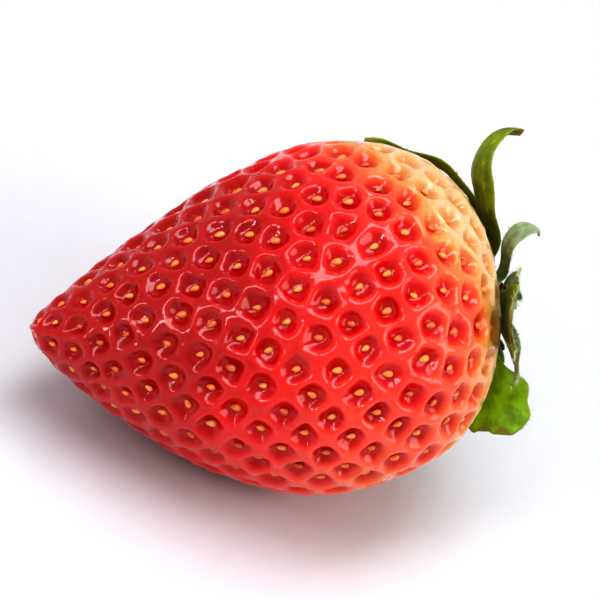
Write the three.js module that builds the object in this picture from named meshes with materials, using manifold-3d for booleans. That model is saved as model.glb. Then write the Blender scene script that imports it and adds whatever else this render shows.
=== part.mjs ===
// A ripe strawberry as picked: a red conical fruit lying on its side, with its green calyx and a cut stalk.
// Millimetres, +Z up. The origin is the middle of the small flat that the fruit rests on, and the tip is at -X.
// Everything is built about the fruit's own axis, tip down and stalk up, and is then laid down as one.
import * as THREE from "three";
import { LoftGeometry } from "three/addons/geometries/LoftGeometry.js";
import { mergeVertices } from "three/addons/utils/BufferGeometryUtils.js";
import Module from "manifold-3d";

const wasm = await Module();
wasm.setup();

const { clamp, degToRad } = THREE.MathUtils;

// Fruit. Its outline is t ^ TIP_CURVE times (t + BLUNT) ^ TAPER times (1 - t ^ FULLNESS) ^ SHOULDER, with t
// from 0 at the tip to 1 at the shoulder.
const LENGTH = 52.5; // tip to shoulder, before the dent
const RADIUS = 19.2; // at its widest
const TIP_CURVE = 0.5; // how blunt the very tip is
const BLUNT = 0.14; // how full the fruit stays next to it
const TAPER = 0.62; // how far the lower half is drawn in
const FULLNESS = 1.5; // how far towards the shoulder it is widest
const SHOULDER = 0.6; // how quickly the shoulder rounds over
const OVAL = 0.025; // the section is this share wider across than it is tall
const RIB = 0.018; // three low ribs, strongest at the shoulder
const RIB_TURN = degToRad(40);
const SWELL = 0.014; // one broad swelling that winds down the fruit
const BOW = 1.6; // the fruit bends, and its middle is this far off the line from tip to shoulder
const BOW_BEARING = degToRad(315);
const FACET_DEPTH = 0.075; // a flatter side, grown against another fruit, as a share of the radius
const FACET_BEARING = degToRad(315);
const FACET_SPREAD = 0.18; // how far round the fruit it reaches
const FACET_PLACE = 0.76; // where along the fruit it is deepest
const FACET_LENGTH = 0.2; // how far along the fruit it reaches
const DENT_DEPTH = 3.8; // hollow in the shoulder that holds the calyx
const DENT_RADIUS = 6.6;
const RINGS = 28;
const SIDES = 40;

// How it lies.
const AXIS_RISE = degToRad(13); // the stalk end is higher than the tip
const FLAT_DEPTH = 0.6; // the resting flat is pressed in this far

// Calyx.
const GAP = 0.3; // left between touching pieces
const CUP_RADIUS = 4.8;
const CUP_THICKNESS = 1.5;
const CUP_SINK = 0.4; // how far the cup reaches below the crown of the shoulder
const LEAF_STEPS = 12; // along a leaf
const LEAF_CELLS = 4; // across a leaf
const LEAF_ROOT = 0.42; // a leaf's width at its root, as a share of its widest
const LEAF_END = 0.05; // and at its tip

// Each leaf: bearing about the axis, length, width, the pitch at root, middle and tip (0 is straight out, 90 is
// along the stalk), cup (how far its edges rise, as a share of its half width), twist at the tip, and end (how
// far along its full pointed shape it stops, so that 1 has a point and less has a blunt end). Degrees, mm.
const SEPALS = [
  { bearing: 316, length: 9.6, width: 9, pitch: [16, 2, -8], cup: 0.2, twist: -72, end: 0.74 },
  { bearing: 14, length: 15, width: 7.8, pitch: [26, -18, -50], cup: 0.18, twist: -14, end: 1 },
  { bearing: 66, length: 16, width: 8.2, pitch: [22, -22, -56], cup: 0.2, twist: 16, end: 0.8 },
  { bearing: 112.5, length: 18.5, width: 8.4, pitch: [6, -35, -68], cup: 0.14, twist: -6, end: 1 },
  { bearing: 154, length: 17.8, width: 6.8, pitch: [15, -6, 128], cup: 0.3, twist: -24, end: 1 },
  { bearing: 238, length: 11.5, width: 7.4, pitch: [2, -15, -24], cup: 0.14, twist: 4, end: 0.8 },
];
const BRACTLETS = [
  { bearing: 345, length: 10, width: 3.2, pitch: [34, 6, -40], cup: 0.3, twist: 22, end: 1 },
  { bearing: 42, length: 10.5, width: 3.4, pitch: [36, 14, -30], cup: 0.3, twist: -18, end: 1 },
  { bearing: 92, length: 10.5, width: 3.2, pitch: [34, 2, -44], cup: 0.28, twist: 16, end: 1 },
  { bearing: 214, length: 8.5, width: 3.2, pitch: [18, -8, -26], cup: 0.3, twist: -10, end: 1 },
  { bearing: 184, length: 11.5, width: 2.8, pitch: [20, 8, 188], cup: 0.3, twist: 0, end: 1 },
  { bearing: 276, length: 9, width: 3.2, pitch: [16, -4, -36], cup: 0.3, twist: 12, end: 1 },
];
const SEPAL_THICKNESS = 0.6;
const BRACTLET_THICKNESS = 0.5;

// Stalk.
const STALK_LENGTH = 3.6;
const STALK_RADIUS = 1.25;
const STALK_FLARE = 0.75; // added to the radius where it meets the cup
const STALK_LEAN = 0.8; // how far its cut end leans sideways
const STALK_BEARING = degToRad(45); // and which way
const STALK_CUT = degToRad(12); // the cut isn't quite square
const STALK_SIDES = 12;
const STALK_STEPS = 6;

const skin = new THREE.MeshStandardMaterial({ color: 0xb00d16, roughness: 0.25 });
const leafGreen = new THREE.MeshStandardMaterial({ color: 0x4d7a22, roughness: 0.55, side: THREE.DoubleSide });
const bractGreen = new THREE.MeshStandardMaterial({ color: 0x5d8431, roughness: 0.6, side: THREE.DoubleSide });
const cupGreen = new THREE.MeshStandardMaterial({ color: 0x9aa545, roughness: 0.65 });
const stalkGreen = new THREE.MeshStandardMaterial({ color: 0x7f9440, roughness: 0.6 });

// The fruit's outline before it is scaled to RADIUS, at a share t of the way from tip to shoulder.
function outline(t) {
  return t ** TIP_CURVE * (t + BLUNT) ** TAPER * (1 - t ** FULLNESS) ** SHOULDER;
}

function widestOutline() {
  const steps = 500;
  return Math.max(...Array.from({ length: steps }, (_, i) => outline(i / steps)));
}

const OUTLINE_SCALE = RADIUS / widestOutline();

// How much the flatter side takes off the radius, as a share of it.
function facet(t, angle) {
  const along = Math.exp(-(((t - FACET_PLACE) / FACET_LENGTH) ** 2));
  return FACET_DEPTH * along * Math.exp((Math.cos(angle - FACET_BEARING) - 1) / FACET_SPREAD);
}

// A point on the fruit: share t from the tip, angle round the axis.
function fruitPoint(t, angle) {
  const ribs = RIB * t * Math.cos(3 * (angle - RIB_TURN));
  const swell = SWELL * Math.sin(angle + 4 * t);
  const shape = 1 - OVAL * Math.cos(2 * angle) + ribs + swell - facet(t, angle);
  const radius = OUTLINE_SCALE * outline(t) * shape;
  const dent = DENT_DEPTH * Math.exp(-((radius / DENT_RADIUS) ** 2)) * t ** 4;
  const bow = 6.75 * BOW * t * (1 - t) ** 2;
  return new THREE.Vector3(
    radius * Math.cos(angle) + bow * Math.cos(BOW_BEARING),
    radius * Math.sin(angle) + bow * Math.sin(BOW_BEARING),
    LENGTH * t - dent,
  );
}

// A ball whose every point is moved to its place on the fruit, with the ball's lower pole as the tip.
function fruitGeometry() {
  const geometry = new THREE.SphereGeometry(1, SIDES, RINGS).rotateX(Math.PI / 2);
  const positions = geometry.attributes.position;
  for (let i = 0; i < positions.count; i++) {
    const onBall = new THREE.Vector3().fromBufferAttribute(positions, i);
    const t = clamp((1 + onBall.z) / 2, 0, 1);
    const point = fruitPoint(t, Math.atan2(onBall.y, onBall.x));
    positions.setXYZ(i, point.x, point.y, point.z);
  }
  return geometry;
}

// A geometry as a solid that can be joined and cut.
function solidOf(geometry) {
  const bare = geometry.clone();
  bare.deleteAttribute("normal");
  bare.deleteAttribute("uv");
  const merged = mergeVertices(bare);
  return new wasm.Manifold(
    new wasm.Mesh({
      numProp: 3,
      vertProperties: merged.attributes.position.array,
      triVerts: new Uint32Array(merged.index.array),
    }),
  );
}

function geometryOf(solid) {
  const mesh = solid.getMesh();
  const geometry = new THREE.BufferGeometry();
  geometry.setAttribute("position", new THREE.BufferAttribute(new Float32Array(mesh.vertProperties), 3));
  geometry.setIndex(new THREE.BufferAttribute(new Uint32Array(mesh.triVerts), 1));
  geometry.computeVertexNormals();
  return geometry;
}

// The lowest Z of a geometry once it has been laid down.
function lowestWhenLaid(geometry, laid) {
  const turned = geometry.clone().applyQuaternion(laid);
  turned.computeBoundingBox();
  return turned.boundingBox.min.z;
}

// The fruit with its resting flat cut off it. The table is a block, turned into the fruit's own frame.
function restingFruit(geometry, laid, tableTop) {
  const side = 3 * LENGTH;
  const table = new THREE.BoxGeometry(side, side, side);
  table.translate(0, 0, tableTop - side / 2);
  table.applyQuaternion(laid.clone().invert());
  return solidOf(geometry).subtract(solidOf(table));
}

// The middle of the flat, in the laid-down frame before it is moved to the origin.
function flatMiddle(solid, laid, tableTop) {
  const positions = geometryOf(solid).applyQuaternion(laid).attributes.position;
  const onFlat = new THREE.Box3();
  for (let i = 0; i < positions.count; i++) {
    const point = new THREE.Vector3().fromBufferAttribute(positions, i);
    if (Math.abs(point.z - tableTop) < 1e-3) onFlat.expandByPoint(point);
  }
  return onFlat.getCenter(new THREE.Vector3());
}

// The green cup under the leaves: a low button that fills the dent, cut clear of the fruit.
function cupGeometry(fruit, crown) {
  const top = crown - CUP_SINK + CUP_THICKNESS;
  const profile = new THREE.Path();
  profile.moveTo(0, crown - DENT_DEPTH);
  profile.lineTo(CUP_RADIUS - 1.6, crown - DENT_DEPTH);
  profile.lineTo(CUP_RADIUS, top - 0.9);
  profile.quadraticCurveTo(CUP_RADIUS, top - 0.1, CUP_RADIUS - 1.2, top);
  profile.lineTo(0, top);
  const button = new THREE.LatheGeometry(profile.getPoints(4), 32).rotateX(Math.PI / 2);
  return geometryOf(solidOf(button).subtract(fruit.translate(0, 0, GAP)));
}

// Width of a leaf at a share u of its full pointed shape: a rounded lance head on a narrower root.
function leafWidth(u) {
  const blade = Math.sin(Math.PI * u ** 0.8) ** 0.85;
  const root = LEAF_ROOT * (1 - u) ** 2;
  return Math.max(Math.hypot(blade, root), LEAF_END);
}

// A quadratic through three values at u = 0, 0.5 and 1.
function throughThree([first, middle, last], u) {
  return first * (1 - u) * (1 - 2 * u) + 4 * middle * u * (1 - u) + last * u * (2 * u - 1);
}

// One leaf as a loft along its spine, which starts at the origin and goes out along +X. +Z is the stalk's way.
function leafGeometry({ length, width, pitch, cup, twist, end }, thickness) {
  const sections = [];
  const spine = new THREE.Vector3();
  for (let i = 0; i <= LEAF_STEPS; i++) {
    const u = i / LEAF_STEPS;
    const angle = degToRad(throughThree(pitch, u));
    const along = new THREE.Vector3(Math.cos(angle), 0, Math.sin(angle));
    if (i > 0) spine.addScaledVector(along, length / LEAF_STEPS);
    const roll = degToRad(twist) * u * u;
    const across = new THREE.Vector3(0, 1, 0).applyAxisAngle(along, roll);
    const outward = new THREE.Vector3(-Math.sin(angle), 0, Math.cos(angle)).applyAxisAngle(along, roll);
    const halfWidth = (width / 2) * leafWidth(u * end);
    sections.push(leafSection(spine, across, outward, halfWidth, cup, thickness * (1 - 0.4 * u)));
  }
  return new LoftGeometry(sections, { capStart: true, capEnd: true });
}

// A thin crescent: its upper face from one edge to the other, then its lower face back.
function leafSection(spine, across, outward, halfWidth, cup, thickness) {
  const points = [];
  for (const face of [1, -1]) {
    for (let j = 0; j <= LEAF_CELLS; j++) {
      const v = face * (1 - (2 * j) / LEAF_CELLS);
      const half = (thickness / 2) * (1 - 0.45 * v * v);
      points.push(
        spine
          .clone()
          .addScaledVector(across, v * halfWidth)
          .addScaledVector(outward, cup * halfWidth * v * v + face * half),
      );
    }
  }
  return points;
}

// A ring of leaves round the cup, each its own mesh.
function leafRing(name, leaves, rootRadius, rootHeight, thickness, material) {
  const ring = new THREE.Group();
  leaves.forEach((leaf, i) => {
    const mesh = new THREE.Mesh(leafGeometry(leaf, thickness), material);
    mesh.name = `${name}_${i + 1}`;
    const bearing = degToRad(leaf.bearing);
    mesh.position.set(rootRadius * Math.cos(bearing), rootRadius * Math.sin(bearing), rootHeight);
    mesh.rotation.z = bearing;
    ring.add(mesh);
  });
  return ring;
}

// The stalk: a round stem that flares into the cup and leans, with a slanting cut end.
function stalkGeometry() {
  const sections = [];
  for (let i = 0; i <= STALK_STEPS; i++) {
    const u = i / STALK_STEPS;
    const radius = STALK_RADIUS + STALK_FLARE * (1 - u) ** 4;
    const ring = [];
    for (let j = 0; j < STALK_SIDES; j++) {
      const angle = (2 * Math.PI * j) / STALK_SIDES;
      const x = radius * Math.cos(angle);
      ring.push(
        new THREE.Vector3(
          x + STALK_LEAN * u * u,
          radius * Math.sin(angle),
          STALK_LENGTH * u + x * Math.tan(STALK_CUT) * u ** 3,
        ),
      );
    }
    sections.push(ring);
  }
  return new LoftGeometry(sections, { capStart: true, capEnd: true });
}

const laid = new THREE.Quaternion().setFromAxisAngle(new THREE.Vector3(0, 1, 0), Math.PI / 2 - AXIS_RISE);
const whole = fruitGeometry();
whole.computeBoundingBox();
const crown = whole.boundingBox.max.z;
const tableTop = lowestWhenLaid(whole, laid) + FLAT_DEPTH;
const fruitSolid = restingFruit(whole, laid, tableTop);
const cupTop = crown - CUP_SINK + CUP_THICKNESS;

const fruit = new THREE.Mesh(geometryOf(fruitSolid), skin);
fruit.name = "fruit_flesh";

const cup = new THREE.Mesh(cupGeometry(fruitSolid, crown), cupGreen);
cup.name = "calyx_cup";

const stalk = new THREE.Mesh(stalkGeometry(), stalkGreen);
stalk.name = "stalk";
stalk.position.z = cupTop + GAP;
stalk.rotation.z = STALK_BEARING;

const calyx = new THREE.Group();
calyx.add(
  cup,
  leafRing("sepal", SEPALS, CUP_RADIUS + GAP, cupTop - 0.4, SEPAL_THICKNESS, leafGreen),
  leafRing("bractlet", BRACTLETS, CUP_RADIUS - 1.4, cupTop + GAP + 0.35, BRACTLET_THICKNESS, bractGreen),
);

const strawberry = new THREE.Group();
strawberry.add(fruit, calyx, stalk);
strawberry.quaternion.copy(laid);
strawberry.position.copy(flatMiddle(fruitSolid, laid, tableTop)).negate();

export default strawberry;
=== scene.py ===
"""A ripe strawberry lying on its side: a pitted, glossy fruit with its seeds, green calyx and cut stalk.

Sizes are millimetres in the fruit's own frame, which has its tip at the origin and its stalk end up +Z. `Lie`
lays everything down into the frame of the part, in metres.
"""

import logging
import math
from dataclasses import dataclass, field
from enum import Enum

import bpy
import numpy as np
from bpy.types import Material, Node, NodeSocket, NodeTree, Object
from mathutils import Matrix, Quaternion, Vector


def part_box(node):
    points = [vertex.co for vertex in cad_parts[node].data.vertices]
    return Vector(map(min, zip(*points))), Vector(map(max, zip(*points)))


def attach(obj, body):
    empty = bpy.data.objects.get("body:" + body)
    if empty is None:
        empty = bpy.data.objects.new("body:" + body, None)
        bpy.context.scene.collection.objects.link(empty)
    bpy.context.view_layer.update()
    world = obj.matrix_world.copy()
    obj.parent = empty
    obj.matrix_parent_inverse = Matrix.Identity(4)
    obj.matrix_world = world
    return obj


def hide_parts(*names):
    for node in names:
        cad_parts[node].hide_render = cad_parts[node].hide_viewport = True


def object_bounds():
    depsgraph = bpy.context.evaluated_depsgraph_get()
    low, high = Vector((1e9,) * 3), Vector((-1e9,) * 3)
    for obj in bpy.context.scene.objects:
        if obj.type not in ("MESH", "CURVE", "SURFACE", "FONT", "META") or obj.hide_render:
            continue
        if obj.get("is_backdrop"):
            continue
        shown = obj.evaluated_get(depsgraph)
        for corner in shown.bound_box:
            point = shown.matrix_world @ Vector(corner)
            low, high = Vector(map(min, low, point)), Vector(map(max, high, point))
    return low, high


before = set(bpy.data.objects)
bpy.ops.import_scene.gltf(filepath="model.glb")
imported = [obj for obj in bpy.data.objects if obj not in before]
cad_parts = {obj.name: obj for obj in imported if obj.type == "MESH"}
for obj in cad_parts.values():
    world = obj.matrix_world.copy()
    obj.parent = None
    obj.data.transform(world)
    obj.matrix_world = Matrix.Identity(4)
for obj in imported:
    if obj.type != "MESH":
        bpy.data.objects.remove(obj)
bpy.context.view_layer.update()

LOG = logging.getLogger("strawberry")
MM = 0.001
GOLDEN_ANGLE = math.pi * (3 - math.sqrt(5))
ROOT = "root"
SPAN = ("Value", "From Min", "From Max", "To Min", "To Max")
GRAIN_SPAN = (0.3, 0.7)


# Helpers
# ------------------------------


def linear(code: str) -> tuple[float, float, float, float]:
    """Turns an sRGB hex colour into a linear one.

    Args:
        code: six hex digits, with or without a leading #.

    Returns:
        Red, green, blue and an alpha of 1.
    """
    digits = code.lstrip("#")
    shares = [int(digits[i : i + 2], 16) / 255 for i in (0, 2, 4)]
    parts = [c / 12.92 if c <= 0.04045 else ((c + 0.055) / 1.055) ** 2.4 for c in shares]
    return (*parts, 1.0)


def per_metre(size_mm: float) -> float:
    """A texture scale whose features are size_mm across, for coordinates in metres."""
    return 1 / (size_mm * MM)


def smoothstep(low: float, high: float, x: np.ndarray) -> np.ndarray:
    """Rises smoothly from 0 at low to 1 at high."""
    share = np.clip((x - low) / (high - low), 0, 1)
    return share * share * (3 - 2 * share)


def unit(vectors: np.ndarray) -> np.ndarray:
    """The same vectors with length 1."""
    return vectors / np.maximum(np.linalg.norm(vectors, axis=-1, keepdims=True), 1e-12)


def waves(points: np.ndarray, size: float, seed: int, count: int = 9) -> np.ndarray:
    """Smooth random undulation, as a sum of plane waves.

    Args:
        points: places, one row each.
        size: the typical distance from one crest to the next.
        seed: chooses the directions and phases, so each use has its own.
        count: how many waves are added.

    Returns:
        One value for each point, mostly between -1 and 1.
    """
    rng = np.random.default_rng(seed)
    ways = unit(rng.normal(size=(count, 3)))
    rates = 2 * math.pi / (size * rng.uniform(0.7, 1.4, count))
    phases = rng.uniform(0, 2 * math.pi, count)
    return np.sin(points @ (ways * rates[:, None]).T + phases).sum(1) / math.sqrt(count)


def add_node(tree: NodeTree, kind: str, inputs: dict | None = None, **settings: object) -> Node:
    """Adds one node to a material, with its settings and links.

    Args:
        tree: the material's node tree.
        kind: the node's type, without its leading ShaderNode.
        inputs: input name or number to the socket that feeds it, or to its fixed value.
        settings: the node's own properties.

    Returns:
        The new node.
    """
    node = tree.nodes.new(f"ShaderNode{kind}")
    for name, value in settings.items():
        setattr(node, name, value)
    for name, value in (inputs or {}).items():
        if isinstance(value, NodeSocket):
            tree.links.new(value, node.inputs[name])
        else:
            node.inputs[name].default_value = value
    return node


def lay_colour(tree: NodeTree, under: object, over: object, *spans: tuple) -> NodeSocket:
    """Lays one colour over another, as far as every one of the given values calls for it.

    Args:
        tree: the material's node tree.
        under: the colour underneath, a socket or a fixed colour.
        over: the colour laid over it.
        spans: for each value its socket, where it starts to call and where it calls in full, and its least and
            greatest share where they aren't 0 and 1. A socket alone is a share as it stands.

    Returns:
        The mixed colour.
    """
    shares = []
    for value, *span in spans:
        if span:
            inputs = dict(zip(SPAN, (value, *span)))
            value = add_node(tree, "MapRange", inputs, interpolation_type="SMOOTHSTEP").outputs["Result"]
        shares.append(value)
    share = shares[0]
    for other in shares[1:]:
        share = add_node(tree, "Math", {0: share, 1: other}, operation="MULTIPLY").outputs[0]
    return add_node(tree, "Mix", {"Factor": share, 6: under, 7: over}, data_type="RGBA").outputs[2]


def closed_faces(rows: int, sides: int) -> list[tuple[int, ...]]:
    """The faces of a closed body made of rings of points.

    Args:
        rows: how many rings there are.
        sides: points in each ring.

    Returns:
        The corners of each quad between the rings, row by row, and of a cap over each end.
    """
    faces = []
    for i in range(rows - 1):
        for j in range(sides):
            k = (j + 1) % sides
            faces.append((i * sides + j, i * sides + k, (i + 1) * sides + k, (i + 1) * sides + j))
    first, last = range(sides), range((rows - 1) * sides, rows * sides)
    return [*faces, tuple(reversed(first)), tuple(last)]


def bearing_way(azimuth: float, elevation: float) -> Vector:
    """The way out from the fruit at an azimuth and elevation in degrees. Azimuth 0 is towards -Y."""
    a, e = math.radians(azimuth), math.radians(elevation)
    return Vector((math.sin(a) * math.cos(e), -math.cos(a) * math.cos(e), math.sin(e)))


@dataclass
class Shell:
    """Points, faces and per-point values that become one mesh. The points are in the fruit's own frame."""

    points: np.ndarray
    faces: list
    values: dict[str, np.ndarray] = field(default_factory=dict)

    @staticmethod
    def joined(shells: list["Shell"]) -> "Shell":
        """Several shells as one.

        Args:
            shells: shells with the same kinds of value.

        Returns:
            One shell that holds them all.
        """
        points = np.concatenate([s.points for s in shells])
        starts = np.cumsum([0] + [len(s.points) for s in shells[:-1]])
        faces = [tuple(int(k + i) for i in face) for s, k in zip(shells, starts) for face in s.faces]
        values = {name: np.concatenate([s.values[name] for s in shells]) for name in shells[0].values}
        return Shell(points, faces, values)


def tubes(paths: np.ndarray, radii: np.ndarray, sides: int) -> Shell:
    """Thin round tubes along many paths, closed at both ends.

    Args:
        paths: points along each path, as (tube, step, 3).
        radii: the radius at each point, as (tube, step).
        sides: sides of each tube.

    Returns:
        One shell that holds every tube.
    """
    count, steps, _ = paths.shape
    along = unit(np.gradient(paths, axis=1))
    spread = unit(np.cross(along, unit(along[:, :1] + np.array([0.31, 0.67, 0.43]))))
    across = unit(np.cross(along, spread))
    turn = 2 * math.pi * np.arange(sides) / sides
    ring = spread[:, :, None] * np.cos(turn)[:, None] + across[:, :, None] * np.sin(turn)[:, None]
    points = (paths[:, :, None] + ring * radii[:, :, None, None]).reshape(-1, 3)
    one = closed_faces(steps, sides)
    faces = [tuple(i + k * steps * sides for i in face) for k in range(count) for face in one]
    share = np.tile(np.repeat(np.linspace(0, 1, steps), sides), count)
    return Shell(points, faces, {"along": share})


@dataclass(frozen=True)
class Hair:
    """A fine plant hair: a thread that thins to its end and turns aside a little on the way."""

    radius: float = 0.026
    curl: float = 0.18
    thinning: float = 0.75
    steps: int = 4
    sides: int = 3

    def paths(self, root: np.ndarray, way: np.ndarray, bend: np.ndarray, length: np.ndarray) -> np.ndarray:
        """The points along each hair.

        Args:
            root: where each hair stands.
            way: the way it points.
            bend: the way its end turns.
            length: how long it is.

        Returns:
            Points as (hair, step, 3).
        """
        s = np.linspace(0, 1, self.steps)[None, :, None]
        return root[:, None] + length[:, None, None] * (s * way[:, None] + self.curl * s**2 * bend[:, None])

    def shell(self, paths: np.ndarray) -> Shell:
        """The hairs along these paths."""
        radii = self.radius * (1 - self.thinning * np.linspace(0, 1, self.steps))
        return tubes(paths, np.broadcast_to(radii, paths.shape[:2]), self.sides)


# Form and lie of the fruit
# ------------------------------


@dataclass(frozen=True)
class FruitForm:
    """The fruit's smooth outer form about its own axis. These sizes are those of the solid it stands for."""

    length: float = 52.5
    radius: float = 19.2
    tip_curve: float = 0.5
    blunt: float = 0.14
    taper: float = 0.62
    fullness: float = 1.5
    shoulder: float = 0.6
    oval: float = 0.025
    rib: float = 0.018
    rib_turn: float = math.radians(40)
    swell: float = 0.014
    bow: float = 1.6
    bow_bearing: float = math.radians(315)
    facet_depth: float = 0.075
    facet_bearing: float = math.radians(315)
    facet_spread: float = 0.18
    facet_place: float = 0.76
    facet_length: float = 0.2
    dent_depth: float = 3.8
    dent_radius: float = 6.6
    samples: int = 4000

    def outline(self, t: np.ndarray) -> np.ndarray:
        """The outline before it is scaled to the radius, at shares t from tip to shoulder."""
        closing = np.clip(1 - t**self.fullness, 0, 1) ** self.shoulder
        return t**self.tip_curve * (t + self.blunt) ** self.taper * closing

    def radius_at(self, t: np.ndarray) -> np.ndarray:
        """The mean radius at shares t from tip to shoulder."""
        return self.radius * self.outline(t) / self.outline(np.linspace(0, 1, 501)).max()

    def point(self, t: np.ndarray, angle: np.ndarray) -> np.ndarray:
        """Places on the smooth form.

        Args:
            t: share of the length from the tip.
            angle: bearing about the axis, in radians.

        Returns:
            One point for each pair, in millimetres.
        """
        ribs = self.rib * t * np.cos(3 * (angle - self.rib_turn))
        swell = self.swell * np.sin(angle + 4 * t)
        pressed = np.exp((np.cos(angle - self.facet_bearing) - 1) / self.facet_spread)
        facet = self.facet_depth * np.exp(-(((t - self.facet_place) / self.facet_length) ** 2)) * pressed
        reach = self.radius_at(t) * (1 - self.oval * np.cos(2 * angle) + ribs + swell - facet)
        dent = self.dent_depth * np.exp(-((reach / self.dent_radius) ** 2)) * t**4
        bow = 6.75 * self.bow * t * (1 - t) ** 2
        x = reach * np.cos(angle) + bow * math.cos(self.bow_bearing)
        y = reach * np.sin(angle) + bow * math.sin(self.bow_bearing)
        return np.stack([x, y, self.length * t - dent], -1)

    def meridian(self) -> tuple[np.ndarray, np.ndarray, np.ndarray]:
        """Follows the skin from the tip to the stalk.

        Returns:
            Shares t, the distance walked from the tip at each, and the mean radius there.
        """
        t = (1 - np.cos(np.linspace(0, math.pi, self.samples))) / 2
        radius = self.radius_at(t)
        height = self.length * t - self.dent_depth * np.exp(-((radius / self.dent_radius) ** 2)) * t**4
        steps = np.hypot(np.diff(radius), np.diff(height))
        return t, np.concatenate([[0], np.cumsum(steps)]), radius

    def crown(self) -> float:
        """The height of the shoulder's highest ring, which is above its dent."""
        t, angle = np.meshgrid(np.linspace(0.9, 1, 400), np.linspace(0, 2 * math.pi, 40))
        return float(self.point(t, angle)[..., 2].max())


@dataclass
class Lie:
    """How the fruit lies: its axis turned down on its side, and its box put over the solid's box."""

    form: FruitForm
    rise: float = math.radians(13)
    shift: np.ndarray = field(default_factory=lambda: np.zeros(3))

    def __post_init__(self) -> None:
        """Works out the shift from the box of the fruit's solid, whose sides and top aren't cut."""
        t, angle = np.meshgrid(np.linspace(0, 1, 600), np.linspace(0, 2 * math.pi, 361))
        own = self.turn(self.form.point(t, angle).reshape(-1, 3))
        low, high = (np.array(corner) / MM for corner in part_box("fruit_flesh"))
        middle = (low + high) / 2 - (own.min(0) + own.max(0)) / 2
        self.shift = np.array([middle[0], middle[1], high[2] - own[:, 2].max()])

    def turn(self, vectors: np.ndarray) -> np.ndarray:
        """Turns vectors from the fruit's own frame to the part's, without moving them.

        Args:
            vectors: what is turned, one row each.

        Returns:
            The turned vectors.
        """
        s, c = math.sin(self.rise), math.cos(self.rise)
        x, y, z = vectors[..., 0], vectors[..., 1], vectors[..., 2]
        return np.stack([x * s + z * c, y, z * s - x * c], -1)

    def place(self, points: np.ndarray) -> np.ndarray:
        """Puts points of the fruit's own frame into the part's frame, in metres."""
        return (self.turn(points) + self.shift) * MM


# Finishes
# ------------------------------


class Surface:
    """What every finish shares: one shader that joins its colour, its uneven roughness and its relief."""

    name: str
    roughness: float

    def material(self) -> Material:
        """Builds the finish's material.

        Returns:
            The new material.
        """
        material = bpy.data.materials.new(self.name)
        material.use_nodes = True
        tree = material.node_tree
        tree.nodes.clear()
        place = add_node(tree, "TexCoord").outputs["Object"]
        shader = add_node(tree, "BsdfPrincipled", self.dress(tree, place))
        add_node(tree, "OutputMaterial", {"Surface": shader.outputs["BSDF"]})
        return material

    def dress(self, tree: NodeTree, place: NodeSocket) -> dict[str, object]:
        """What feeds each of the shader's inputs. Each finish makes it in its own way."""
        raise NotImplementedError

    def uneven(self, tree: NodeTree, grain: NodeSocket, below: float, above: float) -> NodeSocket:
        """The finish's roughness, varied by its grain.

        Args:
            tree: the material's node tree.
            grain: a texture from 0 to 1.
            below: how far the roughness falls in the grain's low places.
            above: how far it rises in the high ones.

        Returns:
            The roughness.
        """
        inputs = dict(zip(SPAN, (grain, *GRAIN_SPAN, self.roughness - below, self.roughness + above)))
        return add_node(tree, "MapRange", inputs, interpolation_type="SMOOTHSTEP").outputs["Result"]


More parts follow.
